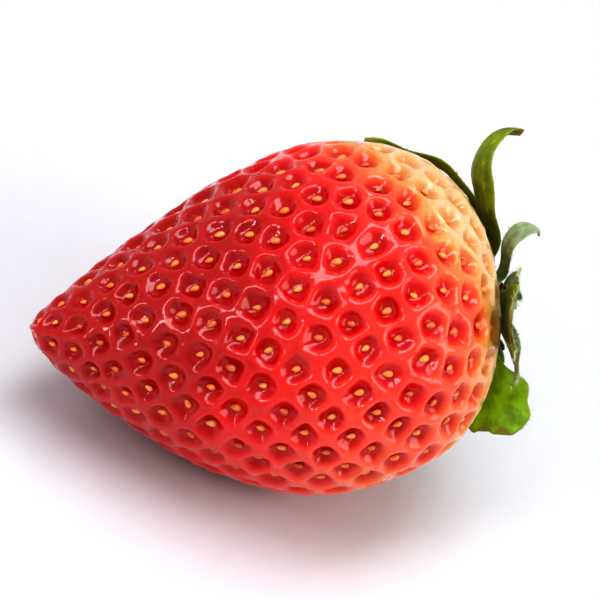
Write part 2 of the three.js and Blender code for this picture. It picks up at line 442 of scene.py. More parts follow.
@dataclass(frozen=True)
class FruitSkin(Surface):
    """Ripe strawberry skin: wet, see-through flesh under a thin waxy cuticle, grown and not made.

    The cuticle gives small sharp glints on every ridge, and the flesh under it takes light in and glows red.
    The skin's cells are about 0.05 mm across, too fine to show, so the pores are drawn at 0.22 mm. Each span
    says where a colour starts to come in and where it is all there, in ripeness or, for `bright`, in mottling.
    """

    name: str = "ripe_fruit_skin"
    ripe: str = "#C2000C"
    bright: str = "#D8050D"
    # darkest is partly a riper tip and partly painted shade on the tip and the upper side.
    darkest: str = "#A6000F"
    deep: str = "#D2000A"
    turning: str = "#E06034"
    shoulder: str = "#D29656"
    pale: str = "#DAB68C"
    # ridge is partly less ripe skin and partly painted sheen and floor bounce light on the ridges.
    ridge: str = "#F06454"
    shoulder_span: tuple[float, float] = (0.02, 0.3)
    turning_span: tuple[float, float] = (0.25, 0.6)
    ripe_span: tuple[float, float] = (0.5, 0.95)
    bright_span: tuple[float, float] = (0.35, 0.68)
    darkest_span: tuple[float, float] = (1.0, 1.5)
    unevenness: float = 0.3
    pit_ripening: float = 0.34
    # The share of painted ridge sheen, full on the underside and smallest where the painted shade is.
    ridge_share: float = 0.5
    painted_shade_ridge_share: float = 0.2
    deep_share: float = 0.55
    mottle_mm: float = 5.0
    pucker_mm: float = 0.9
    pucker_height_mm: float = 0.16
    pore_mm: float = 0.22
    pore_height_mm: float = 0.06
    roughness: float = 0.3
    ior: float = 1.4
    glow: float = 0.9
    glow_mm: float = 3.0
    wax_roughness: float = 0.09
    wax_ior: float = 1.5

    def colour(self, tree: NodeTree, mottle: NodeSocket) -> NodeSocket:
        """The skin's colour, from pale shoulder to ripe red, with deeper pits, paler ridges and a darkest red.

        The paler ridges are partly less ripe skin and partly painted sheen and floor bounce light, strongest
        on the underside. The darkest red, on the tip and the upper side, is partly a riper tip and partly
        painted shade.

        Args:
            tree: the material's node tree.
            mottle: a slow unevenness from 0 to 1.

        Returns:
            The colour.
        """
        ripeness_and_painted_light = add_node(tree, "Attribute", attribute_name="ripeness_and_painted_light").outputs["Fac"]
        pit = add_node(tree, "Attribute", attribute_name="pit").outputs["Fac"]
        inputs = {0: mottle, 1: self.unevenness, 2: -self.unevenness / 2}
        uneven = add_node(tree, "Math", inputs, operation="MULTIPLY_ADD").outputs[0]
        inputs = {0: pit, 1: self.pit_ripening, 2: ripeness_and_painted_light}
        redder = add_node(tree, "Math", inputs, operation="MULTIPLY_ADD").outputs[0]
        ripe = add_node(tree, "Math", {0: redder, 1: uneven}, operation="ADD").outputs[0]
        unripe = lay_colour(tree, linear(self.pale), linear(self.shoulder), (ripe, *self.shoulder_span))
        turning = lay_colour(tree, unripe, linear(self.turning), (ripe, *self.turning_span))
        red = lay_colour(tree, linear(self.ripe), linear(self.bright), (mottle, *self.bright_span))
        # Painted shade, partly: past 1 the red goes to the darkest red on the tip and the upper side; partly a
        # riper tip.
        dark = lay_colour(tree, red, linear(self.darkest), (ripeness_and_painted_light, *self.darkest_span))
        skin = lay_colour(tree, turning, dark, (ripe, *self.ripe_span))
        # Painted light, partly: the ridges are laid paler, most on the underside and least on the
        # painted-shade side; partly less ripe skin and partly painted sheen and floor bounce light.
        on_ridge = (pit, 0.6, 0.05, 0, self.ridge_share)
        bounce_side_span = (ripeness_and_painted_light, 1.25, 0.65, self.painted_shade_ridge_share, 1.0)
        crest = lay_colour(tree, skin, linear(self.ridge), (ripe, 0.2, 0.8), bounce_side_span, on_ridge)
        in_pit = (pit, 0.4, 0.95, 0, self.deep_share)
        return lay_colour(tree, crest, linear(self.deep), in_pit, (ripe, 0.35, 0.9))

    def dress(self, tree: NodeTree, place: NodeSocket) -> dict[str, object]:
        """Takes the mesh's pit values and its values of how ripe it is, which carry painted light and shade
        too.

        Args:
            tree: the material's node tree.
            place: places on the mesh, in metres.

        Returns:
            What feeds each of the shader's inputs.
        """
        sizes = ((self.mottle_mm, 4.0), (self.pucker_mm, 1.0), (self.pore_mm, 2.0))
        recipes = [{"Vector": place, "Scale": per_metre(size), "Detail": detail} for size, detail in sizes]
        mottle, puckers, pores = (add_node(tree, "TexNoise", inputs).outputs["Fac"] for inputs in recipes)
        inputs = {"Height": puckers, "Strength": 1.0, "Distance": self.pucker_height_mm * MM}
        slow = add_node(tree, "Bump", inputs).outputs["Normal"]
        inputs = {"Height": pores, "Strength": 0.45, "Distance": self.pore_height_mm * MM, "Normal": slow}
        bump = add_node(tree, "Bump", inputs)
        return {
            "Base Color": self.colour(tree, mottle),
            "Roughness": self.uneven(tree, mottle, 0.06, 0.08),
            "IOR": self.ior,
            "Normal": bump.outputs["Normal"],
            "Subsurface Weight": self.glow,
            "Subsurface Radius": (1.0, 0.14, 0.07),
            "Subsurface Scale": self.glow_mm * MM,
            "Specular IOR Level": 0.2,
            "Coat Weight": 1.0,
            "Coat Roughness": self.wax_roughness,
            "Coat IOR": self.wax_ior,
        }


@dataclass(frozen=True)
class SeedShell(Surface):
    """Ripe achene: a hard, dry little nut that grew on the skin, straw yellow to tan.

    Its smooth shell gives one small glint, and its foot is red where the flesh rises round it. Its streaks are
    finer than a tenth of a millimetre and are drawn at 0.35 mm, so that they show at all.
    """

    name: str = "achene_shell"
    straw: str = "#EE9448"
    tan: str = "#D06638"
    green: str = "#E6A85E"
    foot: str = "#8E1C0C"
    streak_mm: float = 0.35
    roughness: float = 0.3
    ior: float = 1.5
    gloss: float = 0.6
    gloss_roughness: float = 0.12

    def dress(self, tree: NodeTree, place: NodeSocket) -> dict[str, object]:
        """Takes each seed's own tone and the height on it from the mesh.

        Args:
            tree: the material's node tree.
            place: places on the mesh, in metres.

        Returns:
            What feeds each of the shader's inputs.
        """
        tone = add_node(tree, "Attribute", attribute_name="tone").outputs["Fac"]
        height = add_node(tree, "Attribute", attribute_name="height").outputs["Fac"]
        inputs = {"Vector": place, "Scale": per_metre(self.streak_mm), "Detail": 3.0}
        streak = add_node(tree, "TexNoise", inputs).outputs["Fac"]
        warm = lay_colour(tree, linear(self.green), linear(self.straw), (tone, 0.1, 0.55))
        shell = lay_colour(tree, warm, linear(self.tan), (tone, 0.6, 1.0))
        worn = lay_colour(tree, shell, linear(self.tan), (streak, 0.4, 0.75, 0, 0.4))
        bump = add_node(tree, "Bump", {"Height": streak, "Strength": 0.5, "Distance": 0.05 * MM})
        return {
            "Base Color": lay_colour(tree, worn, linear(self.foot), (height, 0.5, 0.05, 0, 0.85)),
            "Roughness": self.uneven(tree, streak, 0.08, 0.12),
            "IOR": self.ior,
            "Normal": bump.outputs["Normal"],
            "Coat Weight": self.gloss,
            "Coat Roughness": self.gloss_roughness,
        }


@dataclass(frozen=True)
class DryFilament(Surface):
    """Dried style or stamen: a thread that withered on the fruit, so it is brown, crumpled and without shine.

    Its wrinkles are finer than a twentieth of a millimetre and are drawn at 0.3 mm, so that they show at all.
    """

    name: str
    root: str
    end: str
    crumple_mm: float = 0.3
    roughness: float = 0.75

    def dress(self, tree: NodeTree, place: NodeSocket) -> dict[str, object]:
        """Takes the place along the thread, which is darker towards its end.

        Args:
            tree: the material's node tree.
            place: places on the mesh, in metres.

        Returns:
            What feeds each of the shader's inputs.
        """
        along = add_node(tree, "Attribute", attribute_name="along").outputs["Fac"]
        inputs = {"Vector": place, "Scale": per_metre(self.crumple_mm), "Detail": 3.0}
        crumple = add_node(tree, "TexNoise", inputs).outputs["Fac"]
        faded = lay_colour(tree, linear(self.root), linear(self.end), (along, 0.2, 1.0))
        bump = add_node(tree, "Bump", {"Height": crumple, "Strength": 0.5, "Distance": 0.05 * MM})
        return {
            "Base Color": lay_colour(tree, faded, linear(self.end), (crumple, 0.45, 0.7, 0, 0.5)),
            "Roughness": self.uneven(tree, crumple, 0.12, 0.1),
            "Normal": bump.outputs["Normal"],
        }


@dataclass(frozen=True)
class LeafBlade(Surface):
    """Living leaf blade under a thin matt wax: the veins show paler, and light comes through where it is thin.

    An aged blade goes olive. Its cells are about 0.05 mm across and are drawn at 0.16 mm, so that they show.
    """

    name: str
    outer: str
    inner: str
    vein: str
    rim: str
    tip: str
    olive: str
    mottle_mm: float = 1.8
    darkest_mottle: float = 0.62
    lightest_mottle: float = 1.25
    cell_mm: float = 0.16
    cell_height_mm: float = 0.04
    glow: float = 0.25
    glow_mm: float = 0.5
    roughness: float = 0.5

    def dress(self, tree: NodeTree, place: NodeSocket) -> dict[str, object]:
        """Takes the side, vein, rim, tip and age values of the mesh.

        Args:
            tree: the material's node tree.
            place: places on the mesh, in metres.

        Returns:
            What feeds each of the shader's inputs.
        """
        side, vein, rim, tip, aged = (
            add_node(tree, "Attribute", attribute_name=label).outputs["Fac"]
            for label in ("inner_side", "vein", "rim", "tip", "aged")
        )
        inputs = {"Vector": place, "Scale": per_metre(self.mottle_mm), "Detail": 5.0}
        mottle = add_node(tree, "TexNoise", inputs).outputs["Fac"]
        green = lay_colour(tree, linear(self.outer), linear(self.inner), (side,))
        blade = lay_colour(tree, green, linear(self.olive), (aged,))
        inputs = dict(zip(SPAN, (mottle, *GRAIN_SPAN, self.darkest_mottle, self.lightest_mottle)))
        shade = add_node(tree, "MapRange", inputs, interpolation_type="SMOOTHSTEP").outputs["Result"]
        grey = add_node(tree, "CombineColor", {0: shade, 1: shade, 2: shade}).outputs[0]
        inputs = {"Factor": 1.0, 6: blade, 7: grey}
        varied = add_node(tree, "Mix", inputs, data_type="RGBA", blend_type="MULTIPLY").outputs[2]
        veined = lay_colour(tree, varied, linear(self.vein), (vein, 0.2, 1.0, 0, 0.6))
        rimmed = lay_colour(tree, veined, linear(self.rim), (rim, 0.86, 1.0, 0, 0.6))
        cells = add_node(tree, "TexVoronoi", {"Vector": place, "Scale": per_metre(self.cell_mm)})
        inputs = {"Height": cells.outputs["Distance"], "Strength": 0.25, "Distance": self.cell_height_mm * MM}
        bump = add_node(tree, "Bump", inputs)
        return {
            "Base Color": lay_colour(tree, rimmed, linear(self.tip), (tip, 0.93, 1.0, 0, 0.7)),
            "Roughness": self.uneven(tree, mottle, 0.1, 0.12),
            "Normal": bump.outputs["Normal"],
            "Subsurface Weight": self.glow,
            "Subsurface Radius": (0.6, 1.0, 0.25),
            "Subsurface Scale": self.glow_mm * MM,
            "Sheen Weight": 0.15,
            "Sheen Roughness": 0.4,
        }


@dataclass(frozen=True)
class StemTissue(Surface):
    """Young green stem tissue: soft, faintly ribbed and matt, yellower in patches and brown at the cut.

    Its fibres are about 0.05 mm across and are drawn at 0.2 mm, so that they show at all.
    """

    name: str
    green: str
    yellow: str
    cut: str
    mottle_mm: float = 1.6
    fibre_mm: float = 0.2
    fibre_height_mm: float = 0.06
    glow: float = 0.25
    glow_mm: float = 0.8
    roughness: float = 0.55

    def dress(self, tree: NodeTree, place: NodeSocket) -> dict[str, object]:
        """Takes the cut value of the mesh.

        Args:
            tree: the material's node tree.
            place: places on the mesh, in metres.

        Returns:
            What feeds each of the shader's inputs.
        """
        cut = add_node(tree, "Attribute", attribute_name="cut").outputs["Fac"]
        sizes = ((self.mottle_mm, 4.0), (self.fibre_mm, 3.0))
        recipes = [{"Vector": place, "Scale": per_metre(size), "Detail": detail} for size, detail in sizes]
        mottle, fibre = (add_node(tree, "TexNoise", inputs).outputs["Fac"] for inputs in recipes)
        skin = lay_colour(tree, linear(self.green), linear(self.yellow), (mottle, 0.35, 0.7))
        inputs = {"Height": fibre, "Strength": 0.4, "Distance": self.fibre_height_mm * MM}
        bump = add_node(tree, "Bump", inputs)
        return {
            "Base Color": lay_colour(tree, skin, linear(self.cut), (cut,)),
            "Roughness": self.uneven(tree, fibre, 0.1, 0.12),
            "Normal": bump.outputs["Normal"],
            "Subsurface Weight": self.glow,
            "Subsurface Radius": (0.7, 1.0, 0.3),
            "Subsurface Scale": self.glow_mm * MM,
        }


@dataclass(frozen=True)
class PlainFinish(Surface):
    """A plain matt finish of nearly one colour: a leaf hair's dry, clear wall, or felted white paper.

    Both give the eye nothing but evenness, so their grain is drawn faint.
    """

    name: str
    colour: str
    roughness: float
    grain_mm: float
    lightening: float = 1.04

    def dress(self, tree: NodeTree, place: NodeSocket) -> dict[str, object]:
        """Gives the colour and the roughness a faint unevenness.

        Args:
            tree: the material's node tree.
            place: places on the mesh, in metres.

        Returns:
            What feeds each of the shader's inputs.
        """
        inputs = {"Vector": place, "Scale": per_metre(self.grain_mm), "Detail": 2.0}
        grain = add_node(tree, "TexNoise", inputs).outputs["Fac"]
        base = linear(self.colour)
        lighter = (*(min(1.0, c * self.lightening) for c in base[:3]), 1.0)
        bump = add_node(tree, "Bump", {"Height": grain, "Strength": 0.1, "Distance": 0.02 * MM})
        return {
            "Base Color": lay_colour(tree, base, lighter, (grain,)),
            "Roughness": self.uneven(tree, grain, 0.05, 0.05),
            "Normal": bump.outputs["Normal"],
        }


class Finish(Enum):
    """Every finish on the fruit and under it."""

    SKIN = FruitSkin()
    SEED = SeedShell()
    STYLE = DryFilament("dry_style", "#D9A45C", "#8A4A22")
    STAMEN = DryFilament("dry_stamen", "#C9B06A", "#4A2A14")
    SEPAL = LeafBlade("sepal_blade", "#4C720A", "#96C210", "#A8C84C", "#A0A83C", "#8A6A2C", "#6C6A0C")
    BRACTLET = LeafBlade("bractlet_blade", "#748854", "#9CAE84", "#BEC9A2", "#B4B08A", "#8C6234", "#97A480")
    CUP = StemTissue("cup_tissue", "#8FA23E", "#C9C978", "#A9A36A")
    STALK = StemTissue("stalk_tissue", "#7F9440", "#B4AF5C", "#8E7440")
    HAIR = PlainFinish("leaf_hair", "#D6DCC0", 0.5, 0.3)
    PAPER = PlainFinish("paper_sweep", "#D4D5D8", 0.7, 3.0)


class Workshop:
    """Makes the pieces' objects, and each finish's material once."""

    def __init__(self, lie: Lie) -> None:
        """Keeps the lie that every piece is placed by."""
        self.lie = lie
        self.materials: dict[Finish, Material] = {}

    def material(self, finish: Finish) -> Material:
        """The finish's material, made the first time it is asked for.

        Args:
            finish: the finish.

        Returns:
            Its material.
        """
        if finish not in self.materials:
            self.materials[finish] = finish.value.material()
        return self.materials[finish]

    def piece(
        self, name: str, shell: Shell, finish: Finish, nodes: tuple[str, ...] = ()
    ) -> Object:
        """Makes one piece that rides on the part.

        Args:
            name: the piece's name.
            shell: its mesh, in the fruit's own frame.
            finish: what it is finished in.
            nodes: the solids that it stands for.

        Returns:
            The new object.
        """
        places = self.lie.place(shell.points)
        places[:, 2] = np.maximum(places[:, 2], 0)
        mesh = bpy.data.meshes.new(name)
        mesh.from_pydata(places.tolist(), [], shell.faces)
        for label, values in shell.values.items():
            layer = mesh.attributes.new(label, "FLOAT", "POINT")
            layer.data.foreach_set("value", values.astype(np.float32))
        mesh.polygons.foreach_set("use_smooth", np.ones(len(mesh.polygons), bool))
        mesh.materials.append(self.material(finish))
        mesh.update()
        made = bpy.data.objects.new(name, mesh)
        bpy.context.scene.collection.objects.link(made)
        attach(made, ROOT)
        if nodes:
            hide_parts(*nodes)
        LOG.info("%s: %d points, %d faces", name, len(mesh.vertices), len(mesh.polygons))
        return made


# Fruit
# ------------------------------


@dataclass
class SeedField:
    """Where the seeds sit: a golden-angle spiral up the fruit, settled until each seed has its own room."""

    form: FruitForm
    tip_spacing: float = 2.9
    body_spacing: float = 3.95
    crown_spacing: float = 3.4
    clear_radius: float = 6.0
    tip_gap: float = 0.4
    rounds: int = 90
    first_stir: float = 0.45
    last_stir: float = 0.1
    reach_of_push: float = 1.35
    disorder: float = 0.035
    seed: int = 11

    def spacing(self, share: np.ndarray) -> np.ndarray:
        """How far apart the seeds sit.

        Args:
            share: shares of the way along the skin from tip to crown.

        Returns:
            The distance from seed to seed there.
        """
        opening = smoothstep(0.02, 0.38, share)
        closing = smoothstep(0.8, 0.98, share)
        body = self.tip_spacing + (self.body_spacing - self.tip_spacing) * opening
        return body + (self.crown_spacing - self.body_spacing) * closing

    def lay_out(self) -> tuple[np.ndarray, np.ndarray, np.ndarray]:
        """Places every seed.

        Returns:
            Shares t from tip to shoulder, bearings in radians, and the local spacing in millimetres.
        """
        t, walked, radius = self.form.meridian()
        crown_side = t > 0.9
        last = float(np.interp(-self.clear_radius, -radius[crown_side], walked[crown_side]))
        spacing = self.spacing(walked / walked[-1])
        per_step = 2 * math.pi * radius / (math.sqrt(3) / 2 * spacing**2)
        count_to = np.concatenate([[0], np.cumsum(np.diff(walked) * (per_step[1:] + per_step[:-1]) / 2)])
        number = np.arange(int(np.interp(last, walked, count_to)))
        step = np.interp(number + 0.5, count_to, walked)
        bearing = number * GOLDEN_ANGLE
        rng = np.random.default_rng(self.seed)
        for round_ in range(self.rounds):
            local = np.interp(step, walked, spacing)
            reach = np.maximum(np.interp(step, walked, radius), self.tip_gap)
            push = self.push(np.interp(step, walked, t), bearing, local)
            stir = (self.first_stir - self.last_stir) * (1 - round_ / self.rounds) + self.last_stir
            step = np.clip(step + stir * local * push[:, 0], self.tip_gap, last)
            bearing = bearing + stir * local * push[:, 1] / reach
        local = np.interp(step, walked, spacing)
        step = step + rng.normal(0, self.disorder, len(number)) * local
        bearing = bearing + rng.normal(0, self.disorder, len(number)) * local / np.maximum(reach, 2)
        return np.interp(step, walked, t), bearing, local

    def push(self, t: np.ndarray, bearing: np.ndarray, spacing: np.ndarray) -> np.ndarray:
        """How each seed is pushed by its neighbours.

        Args:
            t: shares from tip to shoulder.
            bearing: bearings in radians.
            spacing: the room that each seed wants.

        Returns:
            The push along the skin towards the crown and round the fruit, as a share of the spacing.
        """
        seats = self.form.point(t, bearing)
        further, nearer = np.clip(t + 0.004, 0, 1), np.clip(t - 0.004, 0, 1)
        ahead = unit(self.form.point(further, bearing) - self.form.point(nearer, bearing))
        around = unit(self.form.point(t, bearing + 1e-3) - self.form.point(t, bearing - 1e-3))
        apart = seats[:, None] - seats[None]
        distance = np.linalg.norm(apart, axis=-1) + np.eye(len(seats)) * 1e3
        room = (spacing[:, None] + spacing[None]) / 2
        weight = np.clip(self.reach_of_push - distance / room, 0, 1) / distance
        total = (apart * weight[..., None]).sum(1)
        return np.stack([(total * ahead).sum(1), (total * around).sum(1)], -1)


@dataclass(frozen=True)
class RipenessAndPaintedLight:
    """How ripe the skin is from place to place: 1 is red, and 0 is the pale shoulder, widest on the back.

    The underside, towards the floor, is paler: partly less ripe skin and partly painted light bounced from the
    floor. The tip and the upper side go past 1, to the darkest red: partly a riper tip and partly painted
    shade.
    The sides are bearings about the axis.
    """

    back: float = math.radians(140)
    # This bearing is the underside, paled partly as less ripe skin and partly by painted floor bounce light.
    # The next is the upper side, darkened by painted shade.
    unripe_and_bounce_side: float = math.radians(312)
    painted_shade_side: float = math.radians(160)
    border: float = 0.93
    back_paleness: float = 0.31
    unripe_and_bounce_paleness: float = 0.11
    shade: float = 0.58
    darkening: float = 0.45

    def at(self, t: np.ndarray, angle: np.ndarray, points: np.ndarray) -> np.ndarray:
        """How ripe the skin is, with painted light and shade laid in.

        Args:
            t: shares of the length from the tip.
            angle: bearings about the axis.
            points: the same places on the smooth form.

        Returns:
            One value for each place.
        """
        back = (0.5 + 0.5 * np.cos(angle - self.back)) ** 1.8
        # The underside's weight carries the painted floor bounce light, and the upper side's weight carries
        # the painted shade.
        under = (0.5 + 0.5 * np.cos(angle - self.unripe_and_bounce_side)) ** 2.5
        painted_shade_side = (0.5 + 0.5 * np.cos(angle - self.painted_shade_side)) ** 2
        border = self.border - self.back_paleness * back - self.unripe_and_bounce_paleness * under
        crown = 1 - smoothstep(-0.14, 0.15, t - (border + 0.02 * waves(points, 9, 5)))
        # Painted light, partly: the underside is paled, partly as less ripe skin and partly as painted light
        # bounced from the floor.
        shade = self.shade * under * smoothstep(0.25, 0.75, t) * (1 + 0.15 * waves(points, 12, 6))
        # Painted shade, partly: the tip and the upper side are pushed past 1, towards the darkest red; partly
        # a riper tip.
        riper_tip_and_painted_shade = (1 - smoothstep(0.05, 0.5 + 0.2 * painted_shade_side, t)) * (1 + painted_shade_side) * (1 + 0.2 * waves(points, 10, 7))
        return np.clip(crown - shade * crown, 0, 1) + self.darkening * riper_tip_and_painted_shade


@dataclass
class Fruit:
    """The red fruit: its smooth form pressed into a pit round every seed, with rounded ridges between."""

    form: FruitForm
    layout: SeedField
    ripening_and_painted_light: RipenessAndPaintedLight = RipenessAndPaintedLight()
    cells: int = 128
    pit_depth: float = 0.235
    pit_floor: float = 0.24
    pit_rim: float = 1.13
    pit_wobble: float = 0.12
    pit_wobble_size: float = 2.4
    depth_spread: float = 0.14
    border_width: float = 0.13
    lump: float = 0.16
    lump_size: float = 11
    pucker: float = 0.035
    pucker_size: float = 1.6
    bare_radius: float = 4.2
    neighbours: int = 7
    batch: int = 8000
    seed_rows: np.ndarray = field(default_factory=lambda: np.zeros((0, 3)))

    def ball(self) -> tuple[np.ndarray, list]:
        """A ball made of six square grids, so that its cells are nearly even and it has no poles.

        Returns:
            Unit vectors and quads.
        """
        n = self.cells
        a, b = np.meshgrid(np.arange(n + 1), np.arange(n + 1), indexing="ij")
        low, high = np.zeros_like(a), np.full_like(a, n)
        sides = [
            np.stack(s, -1)
            for s in ((high, a, b), (low, b, a), (b, high, a), (a, low, b), (a, b, high), (b, a, low))
        ]
        keys, quads = [], []
        for s in sides:
            key = (s[..., 0] * (n + 1) + s[..., 1]) * (n + 1) + s[..., 2]
            keys.append(key.ravel())
            quads.append(np.stack([key[:-1, :-1], key[1:, :-1], key[1:, 1:], key[:-1, 1:]], -1).reshape(-1, 4))
        unique = np.unique(np.concatenate(keys))
        faces = np.searchsorted(unique, np.concatenate(quads))
        grid = np.stack([unique // (n + 1) ** 2, unique // (n + 1) % (n + 1), unique % (n + 1)], -1)
        flat = np.tan((grid / n * 2 - 1) * math.pi / 4)
        return unit(flat), faces.tolist()

    def normals(self, t: np.ndarray, angle: np.ndarray) -> np.ndarray:
        """Outward normals of the smooth form.

        Args:
            t: shares of the length from the tip.
            angle: bearings about the axis, in radians.

        Returns:
            One unit vector for each place.
        """
        step = 1e-4
        low, high = np.clip(t - step, 1e-6, 1), np.clip(t + step, 0, 1 - 1e-6)
        along = self.form.point(high, angle) - self.form.point(low, angle)
        around = self.form.point(t, angle + step) - self.form.point(t, angle - step)
        outward = np.cross(around, along)
        pole = np.linalg.norm(outward, axis=1) < 1e-9
        outward[pole] = np.where(t[pole, None] > 0.5, (0, 0, 1), (0, 0, -1))
        return unit(outward)

    def pits(self, points: np.ndarray) -> np.ndarray:
        """How deep each point is in a pit: round bowls, cut a little straighter where two come close.

        Args:
            points: places on the smooth form.

        Returns:
            0 on the ridges and nearly 1 at a seed.
        """
        seeds, spacing = self.seed_rows[:, :3], self.seed_rows[:, 3]
        result = np.zeros(len(points))
        for start in range(0, len(points), self.batch):
            part = points[start : start + self.batch]
            apart = ((part[:, None] - seeds[None]) ** 2).sum(-1)
            near = np.argpartition(apart, self.neighbours, axis=1)[:, : self.neighbours]
            order = np.argsort(np.take_along_axis(apart, near, 1), axis=1)
            near = np.take_along_axis(near, order, 1)
            close = np.take_along_axis(apart, near, 1)
            own = near[:, :1]
            gap = np.linalg.norm(seeds[near[:, 1:]] - seeds[own], axis=-1)
            border = (close[:, 1:] - close[:, :1]) / (2 * gap)
            width = self.border_width * (spacing[near[:, 1:]] + spacing[own]) / 2
            wobble = 1 + self.pit_wobble * waves(part, self.pit_wobble_size, 8)
            apart_share = 2 * np.sqrt(close[:, 0]) / spacing[own[:, 0]] * wobble
            bowl = 1 - smoothstep(self.pit_floor, self.pit_rim, apart_share)
            cut = np.prod(1 - np.exp(-((border / width) ** 2)), axis=1)
            result[start : start + self.batch] = bowl * cut
        return result

    def lumps(self, points: np.ndarray) -> np.ndarray:
        """How far the skin swells out beyond the smooth form at these places on it."""
        return self.lump * waves(points, self.lump_size, 3) + self.pucker * waves(points, self.pucker_size, 4)

    def depth(self, points: np.ndarray, spacing: np.ndarray) -> np.ndarray:
        """How deep a pit is at these places on the smooth form, with seeds this far apart."""
        return self.pit_depth * spacing * (1 + self.depth_spread * waves(points, 8, 9))

    def build(self, shop: Workshop) -> tuple[np.ndarray, np.ndarray, np.ndarray, np.ndarray]:
        """Makes the pitted fruit.

        Args:
            shop: makes the object.

        Returns:
            For each seed its place at the bottom of its pit, the outward normal, the way to the tip, and the
            spacing.
        """
        share, bearing, spacing = self.layout.lay_out()
        seats = self.form.point(share, bearing)
        self.seed_rows = np.column_stack([seats, spacing])
        way, faces = self.ball()
        t_samples, walked, _ = self.form.meridian()
        polar = np.arccos(np.clip(-way[:, 2], -1, 1)) / math.pi
        t = np.interp(polar, walked / walked[-1], t_samples)
        angle = np.arctan2(way[:, 1], way[:, 0])
        smooth = self.form.point(t, angle)
        outward = self.normals(t, angle)
        pit = self.pits(smooth)
        from_stalk = np.where(t > 0.9, np.hypot(smooth[:, 0], smooth[:, 1]), self.form.radius)
        clear = smoothstep(self.bare_radius, self.layout.clear_radius, from_stalk)
        depth = self.depth(smooth, self.layout.spacing(polar)) * clear
        points = smooth + outward * (self.lumps(smooth) - depth * pit)[:, None]
        # The second value is how ripe the skin is, with painted floor bounce light and painted shade laid in.
        values = {"pit": pit * clear, "ripeness_and_painted_light": self.ripening_and_painted_light.at(t, angle, smooth)}
        shop.piece("pitted_fruit", Shell(points, faces, values), Finish.SKIN, ("fruit_flesh",))
        up = self.normals(share, bearing)
        to_tip = self.form.point(np.clip(share - 0.01, 0, 1), bearing) - seats
        to_tip = unit(to_tip - up * (to_tip * up).sum(1, keepdims=True))
        return seats + up * (self.lumps(seats) - self.depth(seats, spacing))[:, None], up, to_tip, spacing


